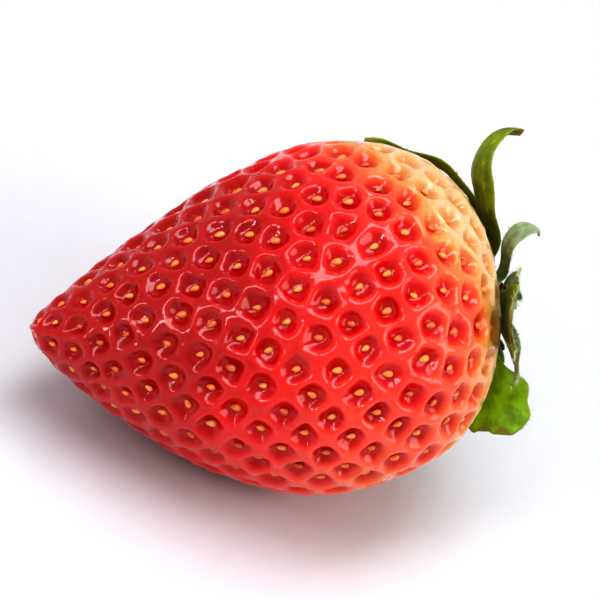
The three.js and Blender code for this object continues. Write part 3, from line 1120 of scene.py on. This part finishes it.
@dataclass
class Seeds:
    """The seeds: a small pointed nut in the bottom of every pit, some with the dried thread of the flower."""

    length: float = 1.08
    width: float = 0.7
    height: float = 0.58
    lift: float = 0.1
    point_share: float = 0.3
    rings: int = 9
    sides: int = 12
    yaw_spread: float = math.radians(14)
    tilt: float = math.radians(4)
    tilt_spread: float = math.radians(7)
    lift_spread: float = 0.05
    smallest: float = 0.72
    thread_length: float = 1.2
    thread_radius: float = 0.035
    thread_steps: int = 7
    threads: float = 0.4
    seed: int = 23

    def one(self) -> tuple[np.ndarray, list, np.ndarray]:
        """One seed about the origin, its point along +X and its upper side +Z.

        Returns:
            Points, faces and the height of each point as a share.
        """
        polar = np.linspace(0.12, math.pi - 0.12, self.rings)[:, None]
        turn = 2 * math.pi * np.arange(self.sides)[None] / self.sides
        girth = np.sin(polar) * (1 - self.point_share * np.cos(polar))
        x = np.broadcast_to(np.cos(polar) * self.length / 2, (self.rings, self.sides))
        y = -girth * np.cos(turn) * self.width / 2
        z = girth * np.sin(turn) * self.height / 2
        points = np.stack([x, y, z], -1).reshape(-1, 3)
        return points, closed_faces(self.rings, self.sides), points[:, 2] / self.height + 0.5

    def build(
        self, shop: Workshop, seats: np.ndarray, up: np.ndarray, to_tip: np.ndarray, spacing: np.ndarray
    ) -> None:
        """Makes every seed and thread.

        Args:
            shop: makes the objects.
            seats: the bottom of each pit.
            up: the outward normal there.
            to_tip: the way along the skin to the fruit's tip.
            spacing: the local distance from seed to seed.
        """
        rng = np.random.default_rng(self.seed)
        count = len(seats)
        yaw = rng.normal(0, self.yaw_spread, count)
        side = np.cross(up, to_tip)
        forward = to_tip * np.cos(yaw)[:, None] + side * np.sin(yaw)[:, None]
        tilt = rng.normal(self.tilt, self.tilt_spread, count)
        nose = forward * np.cos(tilt)[:, None] + up * np.sin(tilt)[:, None]
        left = unit(np.cross(up, nose))
        above = np.cross(nose, left)
        roomy = self.smallest + (1 - self.smallest) * smoothstep(2.6, 3.9, spacing)
        size = roomy * rng.uniform(0.84, 1.14, count)
        middle = seats + up * (self.lift + rng.normal(0, self.lift_spread, count))[:, None]
        points, faces, height = self.one()
        frames = np.stack([nose, left, above], 1)
        placed = middle[:, None] + np.einsum("pk,nkc->npc", points, frames) * size[:, None, None]
        every = [tuple(i + k * len(points) for i in face) for k in range(count) for face in faces]
        values = {"tone": np.repeat(rng.uniform(0, 1, count), len(points)), "height": np.tile(height, count)}
        shop.piece("seeds", Shell(placed.reshape(-1, 3), every, values), Finish.SEED)
        chosen = rng.uniform(size=count) < self.threads
        self.build_threads(shop, middle[chosen], nose[chosen], left[chosen], above[chosen], size[chosen])

    def build_threads(
        self,
        shop: Workshop,
        middle: np.ndarray,
        nose: np.ndarray,
        left: np.ndarray,
        above: np.ndarray,
        size: np.ndarray,
    ) -> None:
        """Makes the dried threads of the chosen seeds, each curling up off its seed's flank.

        Args:
            shop: makes the object.
            middle: each seed's middle.
            nose: the way that its point looks.
            left: the way to its left.
            above: the way out of the skin.
            size: its size, as a share of a full-grown seed's.
        """
        rng = np.random.default_rng(self.seed + 1)
        count = len(middle)
        u = np.linspace(0, 1, self.thread_steps)[None, :, None]
        hand = rng.choice((-1, 1), count)[:, None] * left
        root = middle + hand * (self.width * 0.3 * size)[:, None] + above * (self.height * 0.3 * size)[:, None]
        length = (self.thread_length * rng.uniform(0.5, 1.0, count))[:, None, None]
        forward, aside = rng.uniform(0.2, 1.0, count)[:, None], rng.uniform(-0.2, 0.6, count)[:, None]
        lean = unit(nose * forward + hand * aside)
        rise, drift = u * (0.75 - 0.35 * u), 0.35 * u + 0.55 * u**2
        paths = root[:, None] + length * (rise * above[:, None] + drift * lean[:, None])
        radii = np.broadcast_to(self.thread_radius * (1 - 0.6 * u[..., 0]), (count, self.thread_steps))
        shop.piece("seed_threads", tubes(paths, radii, 4), Finish.STYLE)


# Calyx and stalk
# ------------------------------


class TipForm(Enum):
    """How a leaf ends. The value is the number of teeth at its tip."""

    POINTED = 1
    NOTCHED = 2
    TOOTHED = 3


@dataclass
class Leaf:
    """One leaf of the calyx: a cupped, twisted blade with raised veins, a rolled rim and fine hairs."""

    name: str
    bearing: float
    length: float
    width: float
    pitch: tuple[float, float, float]
    cup: float
    twist: float
    root_radius: float
    root_height: float
    thickness: float
    seed: int
    end: float = 1.0
    tip_form: TipForm = TipForm.POINTED
    aged: float = 0.5
    ruffle: float = 0.04
    tip_thinning: float = 0.45
    rim_thinning: float = 0.75
    tooth_depth: float = 0.07
    root_share: float = 0.42
    overlap: float = 1.6
    rows: int = 56
    cells: int = 22

    def half_width(self, u: np.ndarray) -> np.ndarray:
        """How wide the blade is.

        Args:
            u: shares of its length.

        Returns:
            Half the width there, in millimetres.
        """
        inside = np.clip(u, 0, 1) * self.end
        blade = np.sin(math.pi * inside**0.8) ** 0.85
        root = self.root_share * (1 - inside) ** 2
        return np.maximum(np.hypot(blade, root), 0.05) * self.width / 2

    def spine(self, u: np.ndarray) -> tuple[np.ndarray, np.ndarray]:
        """Where the midrib runs.

        Args:
            u: shares of the length.

        Returns:
            Points in the leaf's own plane, and the midrib's pitch there in radians.
        """
        fine = np.linspace(-self.overlap / self.length, 1, 400)
        first, middle, last = self.pitch
        t = np.clip(fine, 0, 1)
        pitch = np.radians(first * (1 - t) * (1 - 2 * t) + 4 * middle * t * (1 - t) + last * t * (2 * t - 1))
        step = (fine[1] - fine[0]) * self.length
        x, z = np.cumsum(np.cos(pitch)) * step, np.cumsum(np.sin(pitch)) * step
        zero = np.searchsorted(fine, 0)
        x, z = x - x[zero], z - z[zero]
        where = np.stack([np.interp(u, fine, x), np.zeros_like(u), np.interp(u, fine, z)], -1)
        return where, np.interp(u, fine, pitch)

    def veins(self, u: np.ndarray, v: np.ndarray) -> np.ndarray:
        """How strongly a vein shows: the midrib, the side veins beside it and those that run off it.

        Args:
            u: shares of the length.
            v: shares of the half width, from -1 to 1.

        Returns:
            1 on the strongest vein and 0 off the veins.
        """
        midrib = np.exp(-((v / 0.07) ** 2)) * (1 - 0.5 * u)
        beside = sum(np.exp(-(((np.abs(v) - at) / 0.06) ** 2)) * 0.6 for at in (0.36, 0.68))
        branch_phase = (u * 7 - np.abs(v) * 1.3) % 1.0
        branches = 0.35 * np.exp(-(((branch_phase - 0.5) / 0.1) ** 2)) * (np.abs(v) > 0.05)
        return np.clip(midrib + beside * smoothstep(0.02, 0.2, u) + branches * smoothstep(0.1, 0.3, u), 0, 1)

    def surface(self, u: np.ndarray, v: np.ndarray) -> tuple[np.ndarray, np.ndarray, np.ndarray]:
        """Places on the blade's middle surface.

        Args:
            u: shares of the length.
            v: shares of the half width, from -1 to 1.

        Returns:
            Points, outward normals on the stalk's side, and the way across the blade.
        """
        notch = 0.0
        if self.tip_form is not TipForm.POINTED:
            teeth = self.tip_form.value
            notch = self.tooth_depth * (0.5 + 0.5 * np.cos(teeth * math.pi * (v + 1))) * smoothstep(0.5, 1, u)
        reach = u * (1 - notch)
        where, pitch = self.spine(reach)
        roll = math.radians(self.twist) * np.clip(reach, 0, 1) ** 2
        along = np.stack([np.cos(pitch), np.zeros_like(pitch), np.sin(pitch)], -1)
        up = np.stack([-np.sin(pitch), np.zeros_like(pitch), np.cos(pitch)], -1)
        side = np.cross(up, along)
        across = side * np.cos(roll)[..., None] + up * np.sin(roll)[..., None]
        outward = up * np.cos(roll)[..., None] - side * np.sin(roll)[..., None]
        half = self.half_width(u)
        rng = np.random.default_rng(self.seed)
        phases = rng.uniform(0, 2 * math.pi, 3)
        wave = np.sin(9 * u + phases[0] + v) + 0.6 * np.sin(17 * u + phases[1] - 2 * v)
        lift = self.cup * half * v**2 + self.ruffle * self.width * wave * np.abs(v) ** 1.5
        crease = -0.05 * self.width * np.exp(-((v / 0.12) ** 2)) * (1 - u)
        flare = 1 + 0.05 * np.sin(13 * u + phases[2]) * np.sign(v)
        points = where + across * (v * half * flare)[..., None] + outward * (lift + crease)[..., None]
        return points, outward, across

    def rooted(self, points: np.ndarray) -> np.ndarray:
        """Puts points of the leaf's own plane on to the fruit, at the leaf's root and bearing.

        Args:
            points: points in the leaf's own plane.

        Returns:
            The same points in the fruit's own frame.
        """
        s, c = math.sin(math.radians(self.bearing)), math.cos(math.radians(self.bearing))
        x, y, z = points[..., 0] + self.root_radius, points[..., 1], points[..., 2] + self.root_height
        return np.stack([x * c - y * s, x * s + y * c, z], -1)

    def body(self, u: np.ndarray, v: np.ndarray) -> np.ndarray:
        """The blade's thickness at shares u of its length and v of its half width."""
        return self.thickness * (1 - self.tip_thinning * u) * (1 - self.rim_thinning * v**4)

    def shell(self) -> Shell:
        """Makes the blade.

        Returns:
            A closed thin shell with its vein, rim, tip, side and age values.
        """
        u_row = np.concatenate([[-self.overlap / self.length], np.linspace(0, 1, self.rows)])
        v_out = np.sin(np.linspace(-1, 1, self.cells + 1) * math.pi / 2)
        v_ring = np.concatenate([v_out, v_out[::-1]])
        outer = np.concatenate([np.ones(self.cells + 1), np.zeros(self.cells + 1)])
        u, v = np.meshgrid(u_row, v_ring, indexing="ij")
        side = np.broadcast_to(outer, u.shape)
        middle, outward, _ = self.surface(u, v)
        vein = self.veins(np.clip(u, 0, 1), v)
        body = self.body(np.clip(u, 0, 1), v)
        relief = 0.16 * self.thickness * vein
        offset = np.where(side > 0.5, body / 2 + relief, -body / 2 + relief * 0.6)
        points = self.rooted(middle + outward * offset[..., None]).reshape(-1, 3)
        rows, columns = u.shape
        faces = [tuple(reversed(face)) for face in closed_faces(rows, columns)]
        values = {
            "vein": vein.ravel(),
            "rim": np.abs(v).ravel(),
            "tip": np.clip(u, 0, 1).ravel(),
            "inner_side": 1 - side.ravel(),
            "aged": np.full(u.size, self.aged),
        }
        return Shell(points, faces, values)

    def hairs(self, hair: Hair, spacing: float, per_face: int, length: float) -> Shell:
        """Fine hairs along both rims and over the outer side.

        Args:
            hair: the kind of hair.
            spacing: the distance between hairs along the rim.
            per_face: how many stand on the outer side.
            length: the longest hair.

        Returns:
            The hairs as one shell.
        """
        rng = np.random.default_rng(self.seed + 100)
        rim = int(self.length / spacing)
        u = np.concatenate([rng.uniform(0.04, 1, 2 * rim), rng.uniform(0.02, 0.95, per_face)])
        v = np.concatenate([np.ones(rim), -np.ones(rim), rng.uniform(-0.9, 0.9, per_face)])
        on_rim = np.concatenate([np.ones(2 * rim), np.zeros(per_face)])[:, None]
        root, outward, across = self.surface(u, v)
        root = root + outward * self.body(u, v)[:, None] / 2 * (1 - on_rim)
        along = unit(np.cross(outward, across))
        away = across * np.sign(v)[:, None] * on_rim + outward * (1 - on_rim)
        loose = rng.normal(0, 0.3, (len(u), 3))
        way = unit(away - 0.45 * along + loose)
        bend = unit(rng.normal(0, 1, (len(u), 3)))
        reach = length * rng.uniform(0.4, 1.0, len(u)) * np.where(on_rim[:, 0] > 0, 1, 0.7)
        return hair.shell(self.rooted(hair.paths(root, way, bend, reach)))


@dataclass
class Stamens:
    """The dried stamens that lie on the shoulder round the cup, each a thread that ends in a small pod."""

    foot: float
    ring_radius: float = 4.7
    radius: float = 0.085
    thinning: float = 0.03
    pod: tuple[float, float, float] = (0.16, 0.24, 0.12)
    count: int = 26
    steps: int = 9
    sides: int = 6
    seed: int = 77

    def shell(self) -> Shell:
        """Makes every stamen.

        Returns:
            The stamens as one shell.
        """
        rng = np.random.default_rng(self.seed)
        count = self.count
        bearing = 2 * math.pi * (np.arange(count) + rng.uniform(-0.35, 0.35, count)) / count
        outward = np.stack([np.cos(bearing), np.sin(bearing), np.zeros(count)], -1)
        aside = np.stack([-np.sin(bearing), np.cos(bearing), np.zeros(count)], -1)
        root = outward * self.ring_radius + np.array([0, 0, self.foot])
        length = rng.uniform(2.2, 3.8, count)[:, None, None]
        lift = rng.uniform(0.05, 0.5, count)[:, None, None]
        sway = rng.normal(0, 0.3, count)[:, None, None]
        s = np.linspace(0, 1, self.steps)[None, :, None]
        up = (lift * s - 0.25 * s**2 + 0.16 * s) * np.array([0, 0, 1.0])
        paths = root[:, None] + length * (s * outward[:, None] + up + sway * s**2 * aside[:, None])
        radii = np.broadcast_to(self.radius - self.thinning * s[..., 0], (count, self.steps)).copy()
        radii[:, -len(self.pod) :] = self.pod
        return tubes(paths, radii, self.sides)


@dataclass
class Calyx:
    """The green cup, its two rings of leaves, their hairs and the dried stamens under them.

    Each row of SEPALS holds a leaf's bearing, length, width, pitches, cupping, twist, end, tip and age, and
    each row of BRACTLETS the first six of these.
    """

    form: FruitForm
    cup_radius: float = 4.8
    cup_thickness: float = 1.5
    cup_sink: float = 0.4
    gap: float = 0.3
    sepal_thickness: float = 0.5
    sepal_drop: float = 0.4
    bractlet_thickness: float = 0.42
    bractlet_inset: float = 1.4
    bractlet_lift: float = 0.35
    sepal_seed: int = 39
    bractlet_seed: int = 59
    stamen_drop: float = 0.2
    hair: Hair = Hair()
    hair_length: float = 0.75
    hair_spacing: float = 0.3
    sepal_face_hairs: int = 90
    bractlet_face_hairs: int = 40
    cup_rings: int = 44
    cup_sides: int = 96

    SEPALS = (
        (316, 9.6, 9.0, (16, 2, -8), 0.20, -72, 0.74, TipForm.TOOTHED, 0.0),
        (14, 15.0, 7.8, (26, -18, -50), 0.18, -14, 1.0, TipForm.POINTED, 0.3),
        (66, 16.0, 8.2, (22, -22, -56), 0.20, 16, 0.8, TipForm.TOOTHED, 0.5),
        (112.5, 18.5, 8.4, (6, -35, -68), 0.14, -6, 1.0, TipForm.POINTED, 0.9),
        (154, 17.8, 6.8, (15, -6, 128), 0.30, -24, 1.0, TipForm.POINTED, 0.75),
        (238, 11.5, 7.4, (2, -15, -24), 0.14, 4, 0.8, TipForm.NOTCHED, 0.8),
    )
    BRACTLETS = (
        (345, 10.0, 3.2, (34, 6, -40), 0.30, 22),
        (42, 10.5, 3.4, (36, 14, -30), 0.30, -18),
        (92, 10.5, 3.2, (34, 2, -44), 0.28, 16),
        (214, 8.5, 3.2, (18, -8, -26), 0.30, -10),
        (184, 11.5, 2.8, (20, 8, 188), 0.30, 0),
        (276, 9.0, 3.2, (16, -4, -36), 0.30, 12),
    )

    def top(self) -> float:
        """The height of the cup's upper face."""
        return self.form.crown() - self.cup_sink + self.cup_thickness

    def leaves(self) -> tuple[list[Leaf], list[Leaf]]:
        """Sets up every leaf.

        Returns:
            The sepals and the bractlets.
        """
        top = self.top()
        place = (self.cup_radius + self.gap, top - self.sepal_drop, self.sepal_thickness)
        rows = enumerate(self.SEPALS, 1)
        sepals = [Leaf(f"sepal_{i}", *row[:6], *place, self.sepal_seed + i, *row[6:]) for i, row in rows]
        inset, lift = self.cup_radius - self.bractlet_inset, top + self.gap + self.bractlet_lift
        place = (inset, lift, self.bractlet_thickness)
        mesh = {"cells": 14, "rows": 40}
        rows = enumerate(self.BRACTLETS, 1)
        bractlets = [Leaf(f"bractlet_{i}", *row, *place, self.bractlet_seed + i, **mesh) for i, row in rows]
        return sepals, bractlets

    def cup_shell(self) -> Shell:
        """Makes the cup, a low, faintly ribbed button that fills the dent in the shoulder.

        Returns:
            The cup, with no cut on it.
        """
        top, low = self.top(), self.form.crown() - self.form.dent_depth
        under = [(0.05, low), (2.6, low + 0.3), (4.3, top - 1.7), (4.8, top - 0.95), (4.75, top - 0.45)]
        over = [(4.2, top - 0.1), (3.2, top + 0.1), (2.6, top + 0.25), (2.2, top + 0.35), (2.0, top + 0.4)]
        profile = np.array([*under, *over, (0.05, top + 0.42)])
        fine = np.linspace(0, len(profile) - 1, self.cup_rings)
        radius = np.interp(fine, np.arange(len(profile)), profile[:, 0])
        height = np.interp(fine, np.arange(len(profile)), profile[:, 1])
        turn = 2 * math.pi * np.arange(self.cup_sides) / self.cup_sides
        ribs = 1 + 0.03 * np.sin(12 * turn) + 0.012 * np.sin(31 * turn + 1)
        x = radius[:, None] * np.cos(turn) * ribs
        y = radius[:, None] * np.sin(turn) * ribs
        z = np.broadcast_to(height[:, None], x.shape) + 0.05 * np.sin(12 * turn) * (radius[:, None] > 1)
        points = np.stack([x, y, z], -1).reshape(-1, 3)
        return Shell(points, closed_faces(len(radius), len(turn)), {"cut": np.zeros(len(points))})

    def build(self, shop: Workshop) -> None:
        """Makes the cup, the leaves, the hairs and the stamens.

        Args:
            shop: makes the objects.
        """
        shop.piece("cup", self.cup_shell(), Finish.CUP, ("calyx_cup",))
        sepals, bractlets = self.leaves()
        rings = (
            ("sepal", sepals, Finish.SEPAL, self.sepal_face_hairs),
            ("bractlet", bractlets, Finish.BRACTLET, self.bractlet_face_hairs),
        )
        for kind, leaves, finish, _ in rings:
            for leaf in leaves:
                shop.piece(f"{leaf.name}_blade", leaf.shell(), finish, (leaf.name,))
        for kind, leaves, _, count in rings:
            hairs = [leaf.hairs(self.hair, self.hair_spacing, count, self.hair_length) for leaf in leaves]
            shop.piece(f"{kind}_hairs", Shell.joined(hairs), Finish.HAIR)
        shop.piece("stamens", Stamens(self.form.crown() - self.stamen_drop).shell(), Finish.STAMEN)


@dataclass
class Stalk:
    """The cut stalk: a ribbed green stem that flares into the cup, with soft hairs and a slanting cut."""

    foot: float
    length: float = 3.6
    radius: float = 1.25
    flare: float = 0.75
    lean: float = 0.8
    bearing: float = math.radians(45)
    cut: float = math.radians(12)
    hair: Hair = Hair(curl=0.2)
    hair_count: int = 120
    seed: int = 91
    sides: int = 48
    rows: int = 44

    def middle(self, u: np.ndarray) -> np.ndarray:
        """The stem's centre line at shares u of its length."""
        x, y = math.cos(self.bearing) * self.lean * u * u, math.sin(self.bearing) * self.lean * u * u
        return np.stack([x, y, self.foot + self.length * u], -1)

    def girth(self, u: np.ndarray, turn: np.ndarray) -> np.ndarray:
        """The stem's radius at shares u of its length and turns round it."""
        ribs = 1 + 0.035 * np.sin(7 * turn + 1.5 * u) + 0.02 * np.sin(13 * turn)
        return (self.radius + self.flare * (1 - u) ** 4 + 0.05 * np.sin(9 * u)) * ribs

    def shell(self) -> Shell:
        """Makes the stem with its cut end, whose rim is sharp and whose pith is a little sunk.

        Returns:
            The stem, with a value that says where it is cut.
        """
        u = np.concatenate([np.linspace(-0.06, 1, self.rows), np.ones(5)])
        inset = np.concatenate([np.ones(self.rows), [0.94, 0.75, 0.5, 0.25, 0.05]])
        sunk = np.concatenate([np.zeros(self.rows), [0.0, 0.1, 0.16, 0.2, 0.22]])
        turn = 2 * math.pi * np.arange(self.sides) / self.sides
        grid_u, grid_turn = np.meshgrid(u, turn, indexing="ij")
        radius = self.girth(np.clip(grid_u, 0, 1), grid_turn) * inset[:, None]
        x, y = radius * np.cos(grid_turn), radius * np.sin(grid_turn)
        towards = x * math.cos(self.bearing) + y * math.sin(self.bearing)
        slant = towards * math.tan(self.cut) * np.clip(grid_u, 0, 1) ** 3
        points = self.middle(grid_u) + np.stack([x, y, slant - sunk[:, None]], -1)
        cut = np.concatenate([smoothstep(0.93, 1.0, u[: self.rows]), [1, 0.35, 0.2, 0.35, 0.5]])
        faces = closed_faces(len(u), self.sides)
        return Shell(points.reshape(-1, 3), faces, {"cut": np.repeat(cut, self.sides)})

    def hairs(self) -> Shell:
        """Makes the soft hairs that stand out from the stem.

        Returns:
            The hairs as one shell.
        """
        rng = np.random.default_rng(self.seed)
        count = self.hair_count
        u, turn = rng.uniform(0.02, 0.97, count), rng.uniform(0, 2 * math.pi, count)
        outward = np.stack([np.cos(turn), np.sin(turn), np.zeros(count)], -1)
        root = self.middle(u) + outward * (self.girth(u, turn) * 0.97)[:, None]
        way = unit(outward + rng.normal(0, 0.25, (count, 3)) + np.array([0, 0, 0.2]))
        bend = unit(rng.normal(0, 1, (count, 3)))
        return self.hair.shell(self.hair.paths(root, way, bend, rng.uniform(0.4, 0.9, count)))

    def build(self, shop: Workshop) -> None:
        """Makes the stem and its hairs."""
        shop.piece("stem", self.shell(), Finish.STALK, ("stalk",))
        shop.piece("stem_hairs", self.hairs(), Finish.HAIR)


# Studio
# ------------------------------


@dataclass
class Softbox:
    """One soft studio light: a panel that faces the fruit. Its size is its width and its height."""

    name: str
    azimuth: float
    elevation: float
    distance: float
    size: tuple[float, float]
    watts: float
    tint: str = "#FFFFFF"

    def build(self, target: Vector) -> None:
        """Hangs the panel round the target.

        Args:
            target: what it faces.
        """
        way = bearing_way(self.azimuth, self.elevation)
        lamp = bpy.data.lights.new(self.name, "AREA")
        lamp.shape = "RECTANGLE"
        lamp.size, lamp.size_y = self.size
        lamp.energy = self.watts
        lamp.color = linear(self.tint)[:3]
        hung = bpy.data.objects.new(self.name, lamp)
        hung.location = target + way * self.distance
        hung.rotation_euler = (-way).to_track_quat("-Z", "Y").to_euler()
        bpy.context.scene.collection.objects.link(hung)
        LOG.info("light %s", self.name)


@dataclass
class Studio:
    """The pale sweep, the softboxes, the pale surround and the camera."""

    azimuth: float = -34.0
    elevation: float = 36.0
    roll: float = 28.0
    lens: float = 300.0
    fill_share: float = 0.8
    clip: tuple[float, float] = (0.01, 20.0)
    sweep: float = 3.0
    drop: float = 0.02
    surround: str = "#F6F7FA"
    surround_strength: float = 0.42
    look: str = "Very High Contrast"

    LIGHTS = (
        Softbox("overhead", -66, 84, 0.5, (0.18, 0.56), 1.15, "#FAFBFF"),
        Softbox("strip", -68, 38, 0.5, (0.08, 0.14), 0.22, "#FAFCFF"),
        Softbox("side", -68, 17, 0.5, (0.08, 0.08), 0.17, "#FAFCFF"),
        Softbox("front", 50, 30, 0.9, (0.6, 0.6), 2.5, "#FFFDFA"),
        Softbox("glint", 175, 48, 0.5, (0.06, 0.06), 0.05),
    )

    def build(self, shop: Workshop) -> None:
        """Sets up the floor, lights, surround and camera.

        Args:
            shop: makes the floor's material.
        """
        low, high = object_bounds()
        middle = (low + high) / 2
        self.floor(shop)
        for light in self.LIGHTS:
            light.build(middle)
        world = bpy.data.worlds.new("pale_surround")
        bpy.context.scene.world = world
        world.use_nodes = True
        ground = world.node_tree.nodes["Background"]
        ground.inputs["Color"].default_value = linear(self.surround)
        ground.inputs["Strength"].default_value = self.surround_strength
        bpy.context.scene.view_settings.view_transform = "Standard"
        bpy.context.scene.view_settings.look = self.look
        self.camera(middle, (high - low).length / 2)

    def floor(self, shop: Workshop) -> None:
        """Lays the paper sweep just under the fruit.

        Args:
            shop: makes its material.
        """
        half, z = self.sweep / 2, -self.drop * MM
        corners = [(-half, -half, z), (half, -half, z), (half, half, z), (-half, half, z)]
        mesh = bpy.data.meshes.new("paper_sweep")
        mesh.from_pydata(corners, [], [(0, 1, 2, 3)])
        mesh.materials.append(shop.material(Finish.PAPER))
        laid = bpy.data.objects.new("paper_sweep", mesh)
        bpy.context.scene.collection.objects.link(laid)
        laid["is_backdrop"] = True
        LOG.info("floor paper_sweep")

    def camera(self, middle: Vector, radius: float) -> None:
        """Aims the camera at the fruit's middle from the side and above.

        Args:
            middle: the middle of the fruit's box.
            radius: half the box's diagonal.
        """
        way = bearing_way(self.azimuth, self.elevation)
        lens = bpy.data.cameras.new("camera")
        lens.lens = self.lens
        half = math.atan(lens.sensor_width / 2 / lens.lens)
        held = bpy.data.objects.new("camera", lens)
        held.location = middle + way * (radius / math.sin(half) * self.fill_share)
        level = (-way).to_track_quat("-Z", "Y")
        held.rotation_euler = (level @ Quaternion((0, 0, 1), math.radians(self.roll))).to_euler()
        lens.clip_start, lens.clip_end = self.clip
        bpy.context.scene.collection.objects.link(held)
        bpy.context.scene.camera = held


def main() -> None:
    """Builds the fruit, its seeds, the calyx, the stalk and the studio."""
    logging.basicConfig(level=logging.INFO, format="%(message)s")
    form = FruitForm()
    shop = Workshop(Lie(form))
    fruit = Fruit(form, SeedField(form))
    Seeds().build(shop, *fruit.build(shop))
    calyx = Calyx(form)
    calyx.build(shop)
    Stalk(foot=calyx.top() + calyx.gap).build(shop)
    Studio().build(shop)


if __name__ == "__main__":
    main()
